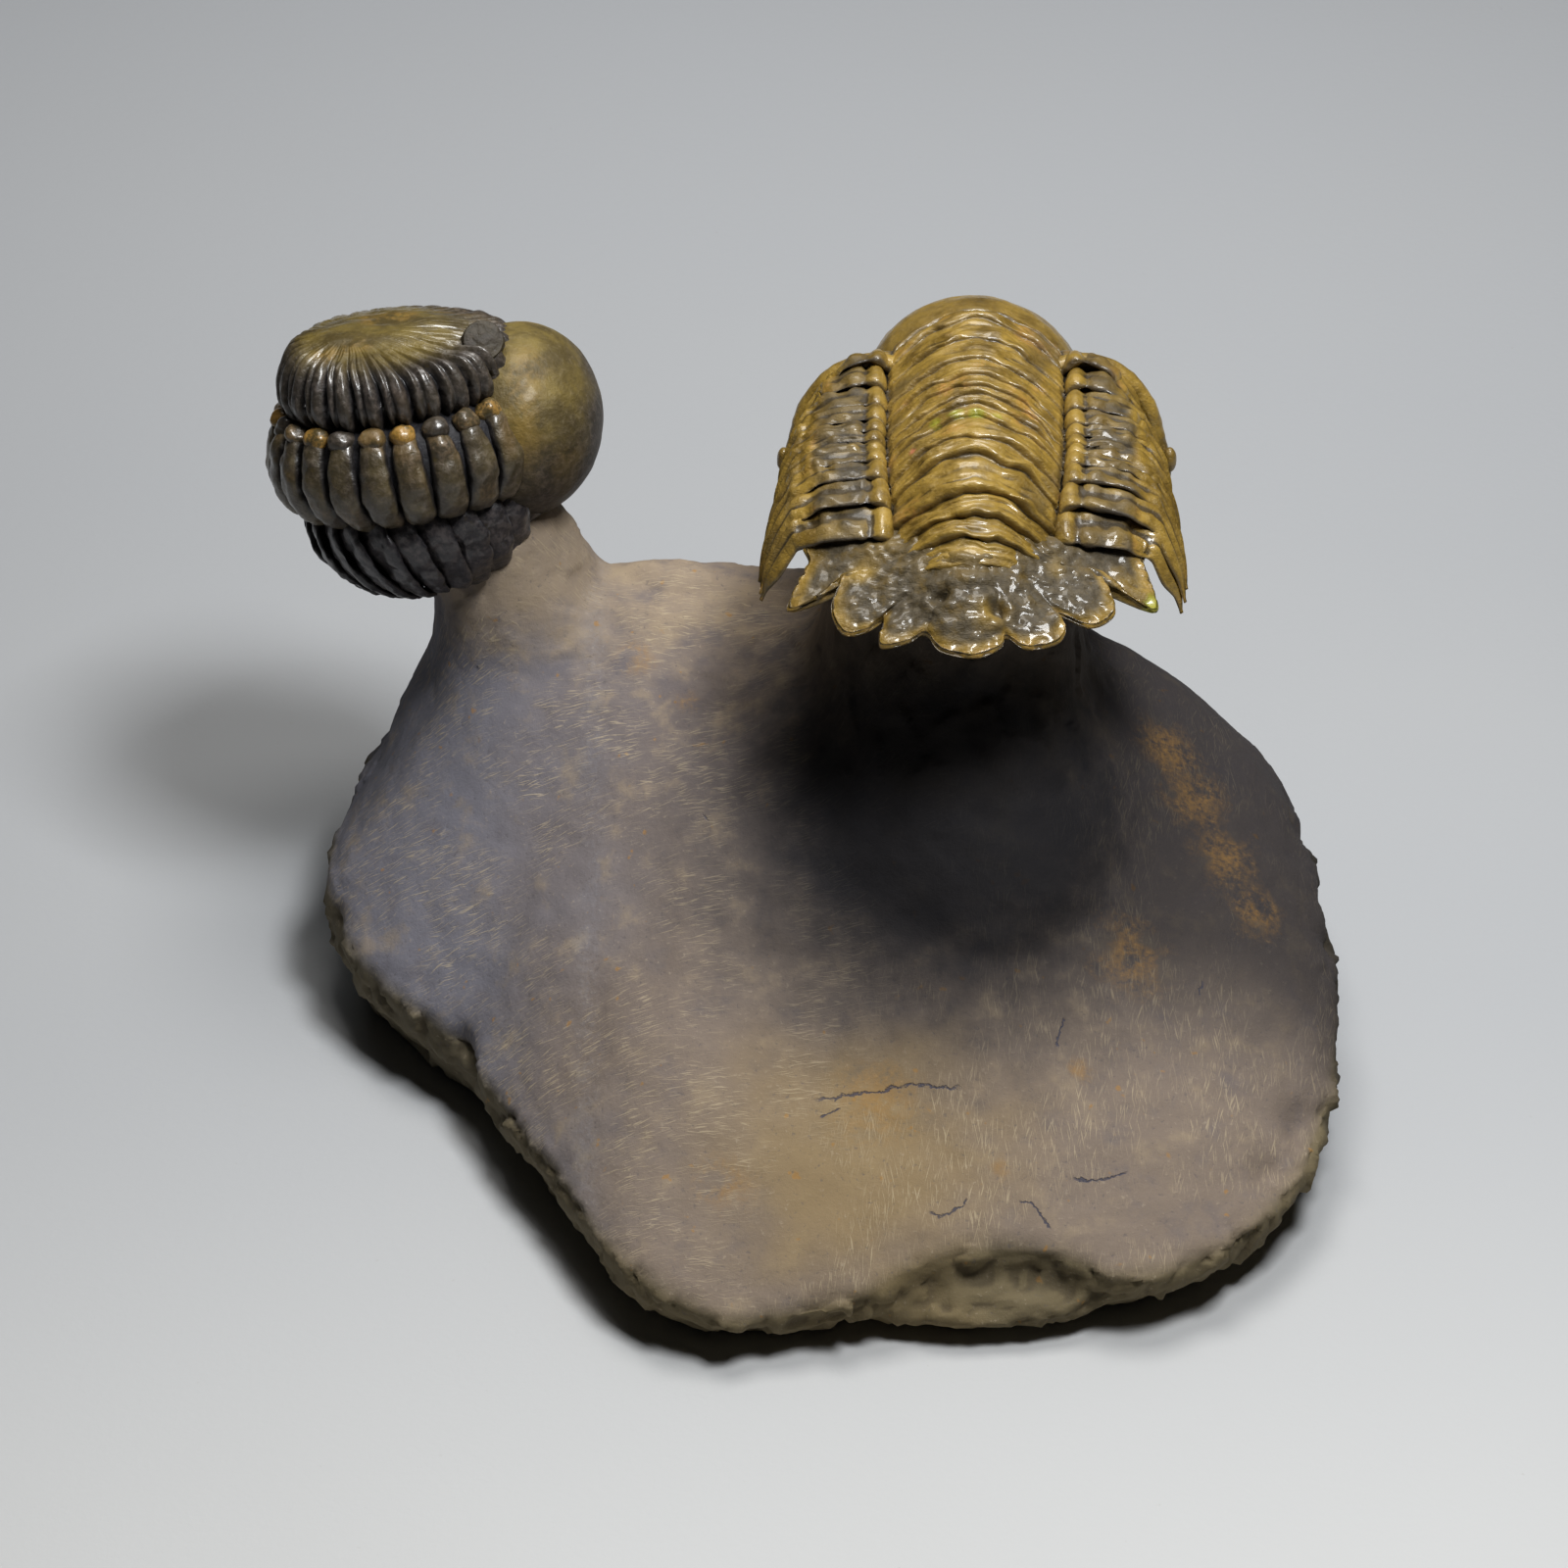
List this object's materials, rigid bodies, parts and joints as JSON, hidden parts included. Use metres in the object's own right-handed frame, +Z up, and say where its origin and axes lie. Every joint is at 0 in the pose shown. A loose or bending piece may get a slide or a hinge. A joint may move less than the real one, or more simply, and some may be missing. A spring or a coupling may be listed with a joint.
{
  "type": "trilobite cluster plate",
  "caption": "Mudstone block with two rock pedestals, one carrying an outstretched spiny trilobite and one a rolled-up trilobite.",
  "frame": {"origin": "centre of the bounding box, on the flat face that the stone rests on", "axes": "+Z up, +Y away from the camera towards the outstretched trilobite's head, +X to the right along the longest side"},
  "size_m": [0.0914, 0.0844, 0.0569],
  "materials": {
    "mudstone": "natural stone, dull warm grey-brown mudstone with fine tool scratches, cracks and rusty spots",
    "fossil_shell": "natural fossil shell, glossy olive and ochre brown with slate-grey ribs and tail",
    "fossil_shell_dark": "natural fossil shell, glossy dark olive brown with ochre beads and black furrows"
  },
  "bodies": {
    "root": {"matrix_stone": "mudstone", "outstretched_trilobite": "fossil_shell", "enrolled_trilobite": "fossil_shell_dark"}
  },
  "joints": []
}
